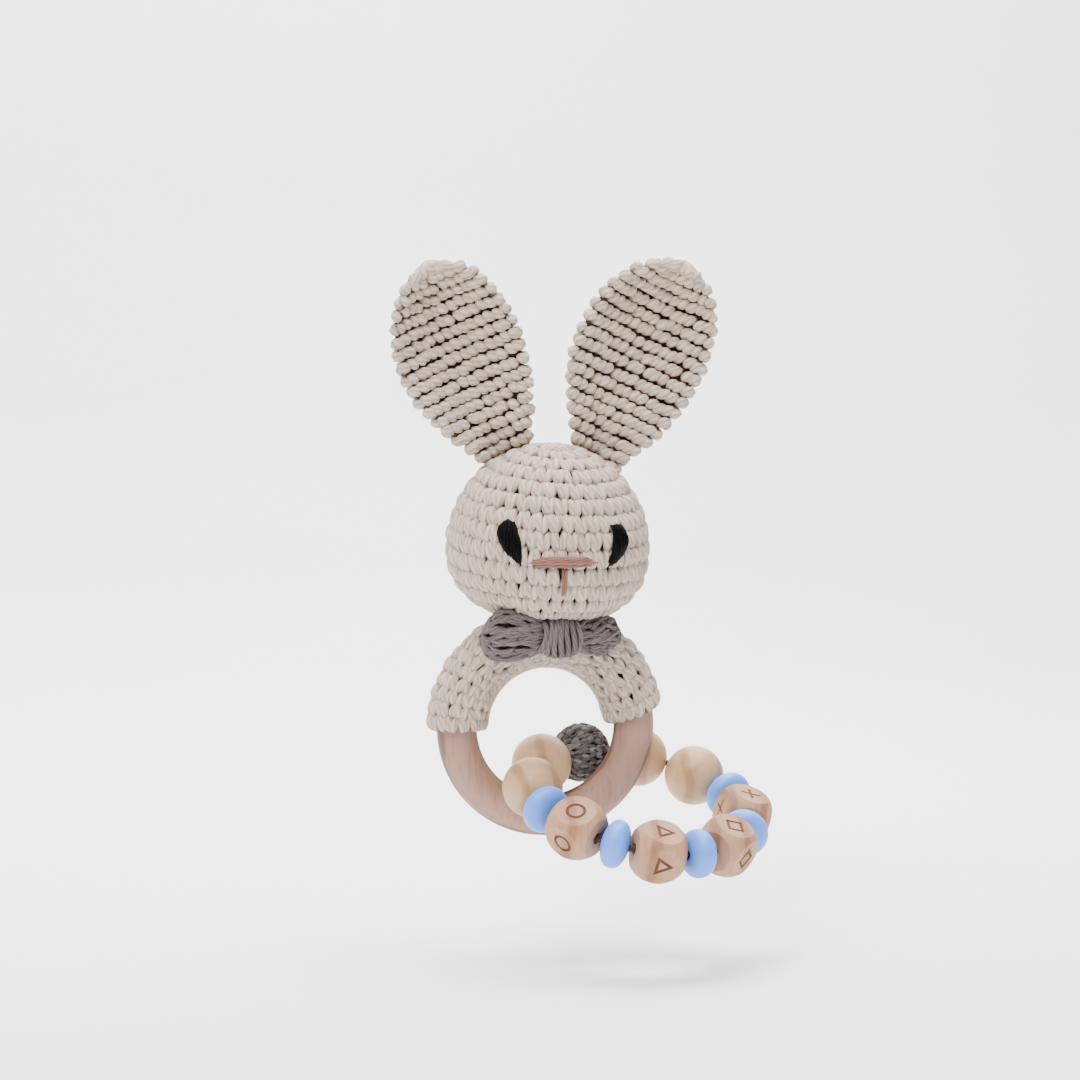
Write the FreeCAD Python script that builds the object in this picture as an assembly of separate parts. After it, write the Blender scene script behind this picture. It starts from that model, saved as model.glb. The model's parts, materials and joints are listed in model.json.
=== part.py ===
import FreeCAD, Part
import math
import os
from FreeCAD import Vector, Placement, Rotation

# Crochet bunny rattle on a beech ring, with a loop of beads threaded on the ring.
# Millimetres.  Origin: centre of the teething ring.  +Z runs up the toy, the face looks along -Y.

# --- driving dimensions -------------------------------------------------------------------------
RING_RADIUS = 22.5            # centre line of the ring: 55 mm outside, 35 mm hole
RING_TUBE = 5.0               # radius of the ring's round section
RUN_GAP = 0.05                # running clearance, ring in its sleeve

SLEEVE_TUBE = 7.6             # outer radius of the crochet sleeve
SLEEVE_FROM, SLEEVE_TO = 7.0, 180.0     # degrees round the ring, from +X over the top
THREAD = 0.5                  # radius of the sewing thread in the ears and the bow
HEAVY_THREAD = 0.55           # and of the thread in the sleeve and the neck

HEAD_CENTRE = Vector(0.8, 0, 48.3)
HEAD_WIDEST = -4.0            # height of the widest row, from the head's centre
HEAD_RADIUS = 24.5
HEAD_TOP, HEAD_BOTTOM = 21.4, -21.4
FABRIC = 2.5                  # thickness of the crochet fabric
HEAD_NOD, HEAD_ROLL = 8.0, 3.0          # degrees, forward and to the toy's +X side

EAR_THICK = 4.6
# share of the ear's length -> share of its half width, and -> depth of its cup
EAR_OUTLINE = [(0.00, 0.31), (0.07, 0.40), (0.13, 0.51), (0.22, 0.69), (0.33, 0.86), (0.45, 0.97),
               (0.57, 1.00), (0.70, 0.96), (0.81, 0.855), (0.90, 0.67), (0.96, 0.45), (0.99, 0.22)]
EAR_CUP = [(0.0, 5.2), (0.2, 4.0), (0.45, 5.0), (0.7, 7.6), (0.85, 6.4), (1.0, 1.5)]
EAR_SWAY = -1.2               # how far the ear's middle bends to the toy's -X side
LEFT_EAR = dict(base=Vector(-8.2, 0.6, 65.6), tip=Vector(-29.0, 1.6, 114.0), half=15.5)
RIGHT_EAR = dict(base=Vector(12.4, 0.6, 64.6), tip=Vector(35.8, 1.6, 114.2), half=16.5)

# half-moon eyes: azimuth from the nose, height from the head's centre, and (across, up) outline
LEFT_EYE = dict(azimuth=-33.5, height=-0.85, rise=1.0,
                outline=[(-1.9, 4.6), (0.6, 4.7), (1.8, 1.8), (2.4, -2.3), (2.3, -4.7), (0.4, -3.9),
                         (-1.6, -1.2), (-2.8, 1.6)])
RIGHT_EYE = dict(azimuth=32.5, height=-1.8, rise=1.0,
                 outline=[(-1.6, 4.5), (1.5, 4.4), (2.6, 1.2), (1.5, -2.5), (-0.2, -4.2), (-2.6, -5.0),
                          (-3.4, -3.7), (-2.3, -0.6), (-1.9, 2.0)])
NOSE = dict(azimuth=-2.6, height=-5.95, rise=1.1,
            outline=[(-8.4, 0.1), (-4.6, 1.2), (-0.3, 1.3), (4.0, 1.1), (8.4, -0.05), (4.4, -0.9),
                     (-0.2, -1.3), (-4.6, -1.0)])
MOUTH = dict(azimuth=-2.6, height=-5.95, rise=0.8,
             outline=[(-0.7, -1.35), (0, -1.33), (0.7, -1.35), (0.7, -4.8), (0.5, -7.9), (0.1, -8.5),
                      (-0.3, -7.9), (-0.7, -4.8)])

CAPSULE_RADIUS = 11.5         # hidden rattle: two plastic half shells with pellets
CAPSULE_WALL = 1.2
CAPSULE_RIM, RIM_STEP, RIM_GAP = 1.5, 0.6, 0.05     # depth of the stepped rim, its step and its gap
CAPSULE_DROP = -3.0           # its centre below the head's centre
PELLET_RADIUS = 1.5
PELLET_ROWS = [(1, 0.0), (5, 24.0), (8, 44.0)]      # pellets in a row, degrees up the capsule's bottom
NECK_STITCHES = [-9.0, -3.2, 3.2, 9.0]              # places across the neck, in front and behind
EAR_STITCHES = [-0.66, -0.24, 0.24, 0.66]           # share of the ear base's half width
BOW_STITCHES = [-0.8, 2.6]

BOW_LEAN = 24.0               # degrees the bow's top leans forward, under the chin

BEAD_ROUND = 7.5              # radius, 15 mm wooden beads
BEAD_BORE = 1.5
CUBE_SIDE, CUBE_CORNER = 12.0, 7.75      # cube side, radius of the sphere that rounds its corners
CUBE_GROOVE, CUBE_LINE = 0.45, 0.8      # engraved motif: depth and line width
MOTIFS = {"ring": (0, 2.5, 0), "triangle": (3, 3.1, 90), "diamond": (4, 3.0, 0)}    # sides, radius, turn
CROSS_REACH = 2.6
BLOCK_MOTIFS = {"block_bead_1": "ring", "block_bead_2": "triangle", "block_bead_3": "diamond",
                "block_bead_4": "cross"}
DISC_HALF = 3.5                         # half thickness of the silicone lentil
DISC_BORE = 1.3
DISC_FACE = [(DISC_BORE, 3.42), (3.7, 2.45), (5.5, 0.85)]    # (radius, height) up its domed face
DISC_RADIUS = 6.0
CORE_RADIUS = 5.5             # wooden core in the crochet bead
CORD_RADIUS = 0.75
CORD_BEND = 5.0               # bend radius of the cord between two beads
KNOT_RADIUS, KNOT_WELL = 1.9, 2.2       # the cord's knot, and the well for it in the crochet bead's core
COVER_BORE = 1.7

# the bead loop: chords on an ellipse, one bead to a chord
LOOP_CENTRE = Vector(20.52, -13.03, -17.80)
LOOP_RATIO = 0.9933           # short axis / long axis
LOOP_START = 163.45           # ellipse parameter at the first bead, degrees
LOOP_TILT, LOOP_ROLL = 19.44, 8.73      # degrees: forward tilt, then sideways
LOOP_ORDER = ["round_bead_1", "silicone_disc_1", "block_bead_1", "silicone_disc_2", "block_bead_2",
              "silicone_disc_3", "block_bead_3", "silicone_disc_4", "block_bead_4",
              "silicone_disc_5", "round_bead_2", "round_bead_3", "crochet_bead", "round_bead_4"]
BLOCK_ROLL = {"block_bead_1": 25.0, "block_bead_2": 9.0, "block_bead_3": 9.0, "block_bead_4": 8.0}
GAP_BLOCK_DISC, GAP_ROUND_DISC, GAP_ROUND = 1.2, 0.85, 0.95

ORIGIN = Vector(0, 0, 0)
X, Y, Z = Vector(1, 0, 0), Vector(0, 1, 0), Vector(0, 0, 1)


# --- helpers ------------------------------------------------------------------------------------
def at(table, t):
    """Straight-line value of a (position, value) table at t."""
    for (t0, v0), (t1, v1) in zip(table, table[1:]):
        if t <= t1:
            return v0 + (v1 - v0) * (t - t0) / (t1 - t0)
    return table[-1][1]


def curve_wire(points, closed=False):
    curve = Part.BSplineCurve()
    curve.interpolate(points, PeriodicFlag=closed)
    return Part.Wire([curve.toShape()])


def torus_arc(radius, tube, start, stop, inner=0.0):
    """Part of a torus round Y, between two angles measured from +X towards +Z."""
    centre = Vector(radius, 0, 0)
    face = Part.Face(Part.Wire([Part.makeCircle(tube, centre, Z)]))
    if inner:
        face = face.cut(Part.Face(Part.Wire([Part.makeCircle(inner, centre, Z)])))
    solid = face.revolve(ORIGIN, Vector(0, -1, 0), stop - start)
    solid.rotate(ORIGIN, Vector(0, -1, 0), start)
    return solid


def ball(centre, radius):
    return Part.makeSphere(radius, centre)


def rod(start, end, radius):
    axis = end - start
    return Part.makeCylinder(radius, axis.Length, start, axis)


def frame_placement(origin, x_axis, z_axis):
    y_axis = z_axis.cross(x_axis)
    return Placement(origin, Rotation(x_axis, y_axis, z_axis, "ZXY"))


# --- ring and sleeve ----------------------------------------------------------------------------
def teething_ring():
    return Part.makeTorus(RING_RADIUS, RING_TUBE, ORIGIN, Y)


def sleeve_blank(tube=SLEEVE_TUBE, inner=RING_TUBE + RUN_GAP):
    return torus_arc(RING_RADIUS, tube, SLEEVE_FROM, SLEEVE_TO, inner)


def sleeve_seam():
    """Lacing thread, half sunk in the sleeve along the inside of the ring, 2 degrees short of its ends."""
    return torus_arc(RING_RADIUS - SLEEVE_TUBE + 0.1, HEAVY_THREAD, SLEEVE_FROM + 2, SLEEVE_TO - 2)


# --- head ---------------------------------------------------------------------------------------
HEAD_PLACE = Placement(HEAD_CENTRE, Rotation(Y, HEAD_ROLL)) * Placement(ORIGIN, Rotation(X, HEAD_NOD))


def head_radius(z, grow=0.0):
    """Outside radius of the head at a height from its centre; grow offsets the skin."""
    up = z >= HEAD_WIDEST
    span = (HEAD_TOP - HEAD_WIDEST if up else HEAD_WIDEST - HEAD_BOTTOM) + grow
    power = 2.0 if up else 2.35
    share = min(1.0, abs(z - HEAD_WIDEST) / span)
    return (HEAD_RADIUS + grow) * (1 - share ** power) ** (1 / power)


def head_solid(grow=0.0):
    top, bottom = HEAD_TOP + grow, HEAD_BOTTOM - grow
    points = []
    steps = 22
    for i in range(steps + 1):
        angle = math.pi * (0.5 - i / steps)
        reach = (top - HEAD_WIDEST) if angle >= 0 else (HEAD_WIDEST - bottom)
        z = HEAD_WIDEST + reach * math.sin(angle)
        radius = 0.0 if i in (0, steps) else head_radius(z, grow)
        points.append(Vector(radius, 0, z))
    curve = Part.BSplineCurve()
    curve.interpolate(points, InitialTangent=X, FinalTangent=Vector(-1, 0, 0))
    axis = Part.makeLine(points[-1], points[0])
    solid = Part.Face(Part.Wire([curve.toShape(), axis])).revolve(ORIGIN, Z, 360)
    solid = Part.Solid(solid) if solid.ShapeType != "Solid" else solid
    solid.Placement = HEAD_PLACE
    return solid


def face_patch(outline, azimuth, height, rise):
    """A stitched patch on the face: an outline pushed in along a direction, 'rise' proud of the skin."""
    a = math.radians(azimuth)
    out = Vector(math.sin(a), -math.cos(a), 0)
    across = Vector(math.cos(a), math.sin(a), 0)
    base = HEAD_CENTRE + out * (HEAD_RADIUS / 2)
    points = [base + across * u + Z * (height + v) for u, v in outline]
    prism = Part.Face(curve_wire(points, closed=True)).extrude(out * HEAD_RADIUS)
    return prism.common(head_solid(rise)).cut(head_solid())


def capsule_centre():
    return HEAD_CENTRE + Z * CAPSULE_DROP


def capsule_half(upper):
    """Half shell with a stepped rim; the upper half's rim slips inside the lower one."""
    centre = capsule_centre()
    inner = CAPSULE_RADIUS - CAPSULE_WALL
    shell = ball(centre, CAPSULE_RADIUS).cut(ball(centre, inner))
    size = 4 * CAPSULE_RADIUS
    block = Part.makeBox(size, size, size, centre - Vector(size / 2, size / 2, 0 if upper else size))
    half = shell.common(block)
    if not upper:
        depth = CAPSULE_RIM + 2 * RIM_GAP
        return half.cut(Part.makeCylinder(inner + RIM_STEP + RIM_GAP, depth, centre - Z * depth))
    spigot = Part.makeCylinder(inner + RIM_STEP, CAPSULE_RIM, centre - Z * CAPSULE_RIM)
    return half.fuse(spigot.cut(ball(centre, inner))).removeSplitter()


def rattle_pellets():
    """Fourteen loose pellets resting in the bottom of the capsule."""
    centre = capsule_centre()
    reach = CAPSULE_RADIUS - CAPSULE_WALL - PELLET_RADIUS - RIM_GAP
    pellets = []
    for count, polar_angle in PELLET_ROWS:
        for k in range(count):
            polar = math.radians(polar_angle)
            turn = 2 * math.pi * k / count + polar
            offset = Vector(math.sin(polar) * math.cos(turn), math.sin(polar) * math.sin(turn),
                            -math.cos(polar))
            pellets.append(ball(centre + offset * reach, PELLET_RADIUS))
    return Part.makeCompound(pellets)


def neck_seam():
    """Eight short stitches that join the head to the top of the sleeve, four in front, four behind."""
    stitches = []
    for side in (-1, 1):
        for across in NECK_STITCHES:
            angle = math.atan2(RING_RADIUS, across)
            ring_point = Vector(RING_RADIUS * math.cos(angle), 0, RING_RADIUS * math.sin(angle))
            start = ring_point + Vector(0, side * 6.4, 2.0)
            stitches.append(rod(start, start + Vector(0, side * 2.2, 6.4), HEAVY_THREAD))
    return Part.makeCompound(stitches)


# --- ears ---------------------------------------------------------------------------------------
def ear_solid(base, tip, half):
    """Cupped ear: crescent sections lofted from the pinched base to the round tip."""
    along = (tip - base)
    length = along.Length
    along.normalize()
    front = (Vector(0, -1, 0) - along * along.dot(Vector(0, -1, 0))).normalize()
    across = along.cross(front)
    sections = []
    for t, share in EAR_OUTLINE:
        width, cup = half * share, at(EAR_CUP, t)
        thick = EAR_THICK * (0.55 + 0.45 * min(1.0, share * 1.6))
        points = []
        steps = 8
        for k in range(2 * steps):
            side = 1 if k < steps else -1
            u = -math.cos(math.pi * (k % steps) / steps) * side
            bulge = math.sqrt(max(0.0, 1 - u ** 4))
            depth = -cup * (1 - u * u) + side * 0.5 * thick * bulge
            aside = u * width + EAR_SWAY * math.sin(math.pi * t)
            points.append(base + along * (t * length) + across * aside + front * depth)
        sections.append(curve_wire(points, closed=True))
    return Part.makeLoft(sections, True, False)


def ear_stitches():
    """Sewing thread, four stitches down through the base of each ear into the head."""
    stitches = []
    for ear in (LEFT_EAR, RIGHT_EAR):
        along = (ear["tip"] - ear["base"]).normalize()
        width, cup = ear["half"] * EAR_OUTLINE[0][1], EAR_CUP[0][1]
        for u in EAR_STITCHES:
            start = ear["base"] + X * (u * width) + Y * (cup * (1 - u * u))
            stitches.append(rod(start - along * 3.0, start + along * 5.0, THREAD))
    return Part.makeCompound(stitches)


# --- bow ----------------------------------------------------------------------------------------
def lofted_pad(stations, direction, start, lean):
    """Padded lobe: ellipses along a direction; each station is (reach, half height, half thickness)."""
    direction = Vector(direction).normalize()
    sections = []
    for reach, high, thick in stations:
        up = Vector(0, -math.sin(math.radians(lean)), math.cos(math.radians(lean)))
        depth = direction.cross(up).normalize()
        points = []
        for k in range(12):
            a = 2 * math.pi * k / 12
            points.append(start + direction * reach + up * (high * math.cos(a))
                          + depth * (thick * math.sin(a)))
        sections.append(curve_wire(points, closed=True))
    return Part.makeLoft(sections, True, False)


def bow_left_loop():
    stations = [(0, 3.2, 2.2), (2.5, 4.8, 2.8), (6, 6.3, 3.2), (9, 6.7, 3.3), (11.5, 6.2, 3.0),
                (13.4, 4.6, 2.3), (14.6, 2.0, 1.2)]
    return lofted_pad(stations, Vector(-1, 0.13, 0), Vector(-3.2, -12.3, 23.6), BOW_LEAN)


def bow_right_loop():
    stations = [(0, 3.0, 2.2), (3, 4.2, 2.7), (6.5, 5.0, 3.0), (9.5, 4.9, 2.9), (12, 4.0, 2.4),
                (13.9, 2.0, 1.2)]
    return lofted_pad(stations, Vector(1, 0.60, 0), Vector(5.0, -12.3, 23.1), BOW_LEAN)


def bow_knot():
    stations = [(0, 3.4, 2.9), (1.4, 4.6, 3.5), (4.9, 5.2, 3.9), (8.4, 4.6, 3.5), (9.8, 3.4, 2.9)]
    return lofted_pad(stations, Vector(1, 0, 0), Vector(-4.0, -12.6, 23.2), BOW_LEAN)


def bow_stitches():
    """Two threads that tie the knot to the sleeve."""
    return Part.makeCompound([rod(Vector(x, -10.6, 21.0), Vector(x, -6.2, 21.0), THREAD)
                              for x in BOW_STITCHES])


# --- bead loop ----------------------------------------------------------------------------------
def bead_kind(name):
    return name.rsplit("_", 1)[0] if name[-1].isdigit() else name


def bead_length(name):
    kind = bead_kind(name)
    return {"block_bead": CUBE_SIDE, "silicone_disc": 2 * DISC_HALF}.get(kind, 2 * BEAD_ROUND)


def gap_between(one, other):
    kinds = {bead_kind(one), bead_kind(other)}
    if "silicone_disc" in kinds:
        return GAP_BLOCK_DISC if "block_bead" in kinds else GAP_ROUND_DISC
    return GAP_ROUND


def chord_step(t, chord, a, b):
    """Ellipse parameter of the point one chord length past t."""
    x0, y0 = a * math.cos(t), b * math.sin(t)
    low, high = t, t + 1.6
    for _ in range(60):
        mid = 0.5 * (low + high)
        if math.hypot(a * math.cos(mid) - x0, b * math.sin(mid) - y0) < chord:
            low = mid
        else:
            high = mid
    return low


def loop_frame():
    return Placement(LOOP_CENTRE, Rotation(Y, LOOP_ROLL) * Rotation(X, LOOP_TILT))


def loop_corners():
    """Corners of the closed bead polygon; bead i spans corner i to corner i + 1."""
    names = LOOP_ORDER
    gaps = [gap_between(names[i], names[(i + 1) % len(names)]) for i in range(len(names))]
    chords = [bead_length(n) + 0.5 * (gaps[i] + gaps[i - 1]) for i, n in enumerate(names)]

    first = math.radians(LOOP_START)

    def end_parameter(a):
        t = first
        for chord in chords:
            t = chord_step(t, chord, a, a * LOOP_RATIO)
        return t - first - 2 * math.pi

    low, high = 20.0, 45.0
    for _ in range(60):
        a = 0.5 * (low + high)
        if end_parameter(a) > 0:
            low = a
        else:
            high = a
    t, corners, place = first, [], loop_frame()
    for chord in chords:
        corners.append(place.multVec(Vector(a * math.cos(t), a * LOOP_RATIO * math.sin(t), 0)))
        t = chord_step(t, chord, a, a * LOOP_RATIO)
    # a bead is centred between its two gaps
    shift = [0.25 * (gaps[i - 1] - gaps[i]) for i in range(len(names))]
    return corners, shift


CORNERS, SHIFTS = loop_corners()
NORMAL = loop_frame().Rotation.multVec(Z)


def bead_seat(i):
    """Placement of bead i: local Z along the cord, local X out of the loop."""
    start, end = CORNERS[i], CORNERS[(i + 1) % len(CORNERS)]
    axis = (end - start).normalize()
    outward = axis.cross(NORMAL).normalize()
    middle = (start + end) * 0.5 + axis * SHIFTS[i]
    roll = BLOCK_ROLL.get(LOOP_ORDER[i], 0.0)
    return frame_placement(middle, outward, axis) * Placement(ORIGIN, Rotation(Z, roll))


def bore(radius=BEAD_BORE, length=20.0):
    return Part.makeCylinder(radius, length, Vector(0, 0, -length / 2))


def round_bead():
    return Part.makeSphere(BEAD_ROUND).cut(bore())


def silicone_disc():
    """Lentil: domed faces, a small round rim and a bore."""
    top = [Vector(r, 0, z) for r, z in DISC_FACE]
    bottom = [Vector(r, 0, -z) for r, z in DISC_FACE]
    rim = Part.Arc(top[2], Vector(DISC_RADIUS, 0, 0), bottom[2]).toShape()
    wall = Part.makeLine(bottom[0], top[0])
    edges = Part.__sortEdges__([Part.Arc(*top).toShape(), rim, Part.Arc(*bottom).toShape(), wall])
    return Part.Face(Part.Wire(edges)).revolve(ORIGIN, Z, 360)


def outline_frame(sides, radius, turn):
    """Regular outline one line wide, cut CUBE_GROOVE deep; 0 sides gives a circle."""
    def plate(r):
        if not sides:
            return Part.Face(Part.Wire([Part.makeCircle(r)]))
        points = [Vector(r * math.cos(math.radians(turn) + 2 * math.pi * k / sides),
                         r * math.sin(math.radians(turn) + 2 * math.pi * k / sides), 0)
                  for k in range(sides)]
        return Part.Face(Part.makePolygon(points + points[:1]))

    inner = radius - CUBE_LINE / (math.cos(math.pi / sides) if sides else 1.0)
    return plate(radius).cut(plate(inner)).extrude(Z * (CUBE_GROOVE + 1.0))


def bar_cross(reach, width):
    one = Part.makeBox(2 * reach, width, CUBE_GROOVE + 1.0, Vector(-reach, -width / 2, 0))
    other = one.copy()
    other.rotate(ORIGIN, Z, 90)
    return one.fuse(other).removeSplitter()


def motif(kind):
    if kind == "cross":
        return bar_cross(CROSS_REACH, CUBE_LINE)
    return outline_frame(*MOTIFS[kind])


def block_bead(kind):
    """Rounded cube with the same engraved motif on the four faces round its bore."""
    h = CUBE_SIDE / 2
    cube = Part.makeBox(CUBE_SIDE, CUBE_SIDE, CUBE_SIDE, Vector(-h, -h, -h))
    cube = cube.common(Part.makeSphere(CUBE_CORNER)).cut(bore())
    for k in range(4):
        a = math.radians(90 * k)
        out = Vector(math.cos(a), math.sin(a), 0)
        side = Vector(-math.sin(a), math.cos(a), 0)
        cutter = motif(kind)
        cutter.Placement = Placement(out * (h - CUBE_GROOVE), Rotation(side, Z, out, "ZXY"))
        cube = cube.cut(cutter)
    return cube


def crochet_core():
    core = Part.makeSphere(CORE_RADIUS).cut(bore())
    return core.cut(Part.makeCylinder(KNOT_WELL, 5.0, Vector(0, 0, 1.2)))


def crochet_cover():
    cover = Part.makeSphere(BEAD_ROUND).cut(Part.makeSphere(CORE_RADIUS + 0.05))
    return cover.cut(bore(COVER_BORE))


def bead_cord():
    """Closed cord: straight through every bead, a small bend at every gap."""
    count = len(CORNERS)
    pieces, ends = [], []
    for i in range(count):
        corner, before, after = CORNERS[i], CORNERS[i - 1], CORNERS[(i + 1) % count]
        into, out = (corner - before).normalize(), (after - corner).normalize()
        bend = into.getAngle(out)
        reach = CORD_BEND * math.tan(bend / 2)
        start = corner - into * reach
        inward = NORMAL.cross(into).normalize()
        pivot = start + inward * CORD_BEND
        disc = Part.Face(Part.Wire([Part.makeCircle(CORD_RADIUS, start, into)]))
        pieces.append(disc.revolve(pivot, NORMAL, math.degrees(bend)))
        ends.append((start, corner + out * reach))
    for i in range(count):
        pieces.append(rod(ends[i][1], ends[(i + 1) % count][0], CORD_RADIUS))
    return pieces[0].multiFuse(pieces[1:]).removeSplitter()


def cord_knot():
    seat = bead_seat(LOOP_ORDER.index("crochet_bead"))
    knot = Part.makeSphere(KNOT_RADIUS, Vector(0, 0, 3.2)).cut(bore(CORD_RADIUS))
    knot.Placement = seat
    return knot


# --- build every node ---------------------------------------------------------------------------
def build():
    nodes = {}
    ring, sleeve, lacing = teething_ring(), sleeve_blank(), sleeve_seam()
    seam, ear_thread, bow_thread = neck_seam(), ear_stitches(), bow_stitches()

    head = head_solid()
    inside = head_solid(-FABRIC)
    saddle = torus_arc(RING_RADIUS, SLEEVE_TUBE + 0.02, SLEEVE_FROM, SLEEVE_TO)
    capsule = ball(capsule_centre(), CAPSULE_RADIUS + 0.05)
    left_ear = ear_solid(**LEFT_EAR).cut(head)
    right_ear = ear_solid(**RIGHT_EAR).cut(head)

    nodes["teething_ring"] = ring
    nodes["ring_sleeve"] = sleeve.cut(lacing).cut(seam).cut(bow_thread)
    nodes["sleeve_lacing"] = lacing.cut(torus_arc(RING_RADIUS, RING_TUBE + RUN_GAP, 0, 360))
    nodes["head_cover"] = head.cut(inside).cut(saddle).cut(seam).cut(ear_thread)
    nodes["head_filling"] = inside.cut(saddle).cut(capsule).cut(seam).cut(ear_thread)
    nodes["rattle_shell_upper"] = capsule_half(True)
    nodes["rattle_shell_lower"] = capsule_half(False)
    nodes["rattle_pellets"] = rattle_pellets()
    nodes["left_ear"] = left_ear.cut(ear_thread)
    nodes["right_ear"] = right_ear.cut(ear_thread)
    nodes["ear_stitches"] = ear_thread
    nodes["left_eye"] = face_patch(**LEFT_EYE)
    nodes["right_eye"] = face_patch(**RIGHT_EYE)
    nodes["nose_stitches"] = face_patch(**NOSE)
    nodes["mouth_stitch"] = face_patch(**MOUTH)
    nodes["neck_seam"] = seam

    wide = torus_arc(RING_RADIUS, SLEEVE_TUBE + 0.05, SLEEVE_FROM, SLEEVE_TO)
    clear = head_solid(0.05)
    knot = bow_knot().cut(clear).cut(wide)
    nodes["bow_knot"] = knot.cut(bow_thread)
    nodes["bow_left_loop"] = bow_left_loop().cut(clear).cut(wide).cut(knot).cut(seam)
    nodes["bow_right_loop"] = bow_right_loop().cut(clear).cut(wide).cut(knot).cut(seam)
    nodes["bow_stitches"] = bow_thread

    for i, name in enumerate(LOOP_ORDER):
        if name == "crochet_bead":
            solids = {"crochet_bead_core": crochet_core(), "crochet_bead_cover": crochet_cover()}
        elif name in BLOCK_MOTIFS:
            solids = {name: block_bead(BLOCK_MOTIFS[name])}
        else:
            solids = {name: silicone_disc() if "disc" in name else round_bead()}
        for node, solid in solids.items():
            solid.Placement = bead_seat(i)
            nodes[node] = solid
    nodes["bead_cord"] = bead_cord()
    nodes["cord_knot"] = cord_knot()
    return nodes


os.makedirs("parts", exist_ok=True)
for node_name, node_shape in build().items():
    node_shape.exportStep("parts/" + node_name + ".step")
    print("%-20s %9.1f mm3  solids %2d  valid %s" % (node_name, node_shape.Volume,
                                                    len(node_shape.Solids), node_shape.isValid()))
print("spin axes")
for i, bead in enumerate(LOOP_ORDER):
    place = bead_seat(i)
    centre, spin = place.Base, place.Rotation.multVec(Z)
    print(bead, [round(v, 4) for v in centre], [round(v, 5) for v in spin])
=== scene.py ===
import json
import math

import bpy
import numpy as np
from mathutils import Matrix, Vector
from mathutils.bvhtree import BVHTree


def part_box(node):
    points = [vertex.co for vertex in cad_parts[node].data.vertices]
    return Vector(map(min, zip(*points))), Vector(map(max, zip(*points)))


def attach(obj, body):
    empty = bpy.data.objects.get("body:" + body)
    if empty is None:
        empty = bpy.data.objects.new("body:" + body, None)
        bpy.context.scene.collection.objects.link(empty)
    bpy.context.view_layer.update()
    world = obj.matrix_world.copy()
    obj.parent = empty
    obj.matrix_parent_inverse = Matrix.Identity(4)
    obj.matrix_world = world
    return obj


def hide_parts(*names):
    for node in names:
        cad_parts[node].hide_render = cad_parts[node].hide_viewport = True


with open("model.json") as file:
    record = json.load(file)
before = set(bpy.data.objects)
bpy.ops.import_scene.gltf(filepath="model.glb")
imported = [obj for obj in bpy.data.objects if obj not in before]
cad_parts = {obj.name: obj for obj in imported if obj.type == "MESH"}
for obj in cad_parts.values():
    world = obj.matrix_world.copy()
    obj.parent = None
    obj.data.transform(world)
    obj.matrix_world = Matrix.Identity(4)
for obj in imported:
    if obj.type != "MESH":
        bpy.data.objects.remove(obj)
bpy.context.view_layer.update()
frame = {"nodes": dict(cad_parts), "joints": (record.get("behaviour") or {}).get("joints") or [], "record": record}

# Lengths below are millimetres, and to_mesh() turns them into metres.  The toy faces -Y.
MM = 0.001
RNG = np.random.default_rng(7)

# Ring and sleeve
RING_RADIUS, RING_TUBE = 22.5, 5.0
SLEEVE_TUBE = 6.75                     # under the stitches, which stand about 1 mm proud
SLEEVE_END, SLEEVE_FLARE = 7.0, 3.5    # where the right end starts, in degrees, and how far it slants

# Head, in its own upright frame before it is nodded and rolled
HEAD_ORIGIN = np.array([0.8, 0.0, 48.3])
HEAD_NOD, HEAD_ROLL = math.radians(8.0), math.radians(3.0)
HEAD_WIDEST, HEAD_RADIUS = -4.0, 24.5
HEAD_TOP, HEAD_BOTTOM = 21.4, -21.4
HEAD_FULLNESS = (2.35, 2.0)    # power of the outline below and above the widest place, 2 is an ellipse

# Face
EYE_PLACES = {"left": (-33.5, -0.85), "right": (32.5, -1.8)}    # azimuth in degrees, height
NOSE_PLACE = (-2.6, -5.95)
CAST_FROM = 40.0               # distance out from the head's axis from which rays are cast at the face
STITCH_END = 0.3               # lift of an embroidery stitch's ends off the skin

# Ears: base, tip and half width; along an ear, the share of that width and the depth of the cup
EARS = {"left_ear": ((-8.2, 0.6, 65.6), (-29.0, 1.6, 114.0), 15.5),
        "right_ear": ((12.4, 0.6, 64.6), (35.8, 1.6, 114.2), 16.5)}
EAR_OUTLINE = ((0.00, 0.31), (0.07, 0.40), (0.13, 0.51), (0.22, 0.69), (0.33, 0.86), (0.45, 0.97),
               (0.57, 1.00), (0.70, 0.96), (0.81, 0.855), (0.90, 0.67), (0.96, 0.45), (1.0, 0.12))
EAR_CUP = ((0.0, 5.2), (0.2, 4.0), (0.45, 5.0), (0.7, 7.6), (0.85, 6.4), (1.0, 1.5))
EAR_THICK = 4.6
EAR_SWAY = -1.2                # how far the middle of an ear swings sideways from base to tip

# Bow: start, direction, and stations (reach, half height, half thickness)
BOW_LEAN = 24.0                # degrees by which its top leans towards the front
BOW = {
    "bow_left_loop": ((-3.2, -12.3, 23.6), (-1, 0.13, 0),
                      ((0, 3.2, 2.2), (2.5, 4.8, 2.8), (6, 6.3, 3.2), (9, 6.7, 3.3), (11.5, 6.2, 3.0),
                       (13.4, 4.6, 2.3), (15.0, 1.2, 0.8))),
    "bow_right_loop": ((5.0, -12.3, 23.1), (1, 0.60, 0),
                       ((0, 3.0, 2.2), (3, 4.2, 2.7), (6.5, 5.0, 3.0), (9.5, 4.9, 2.9), (12, 4.0, 2.4),
                        (14.3, 1.4, 0.9))),
    "bow_knot": ((-4.0, -12.6, 23.2), (1, 0, 0),
                 ((0, 3.4, 2.9), (1.4, 4.6, 3.5), (4.9, 5.2, 3.9), (8.4, 4.6, 3.5), (9.8, 3.4, 2.9))),
}

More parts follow.
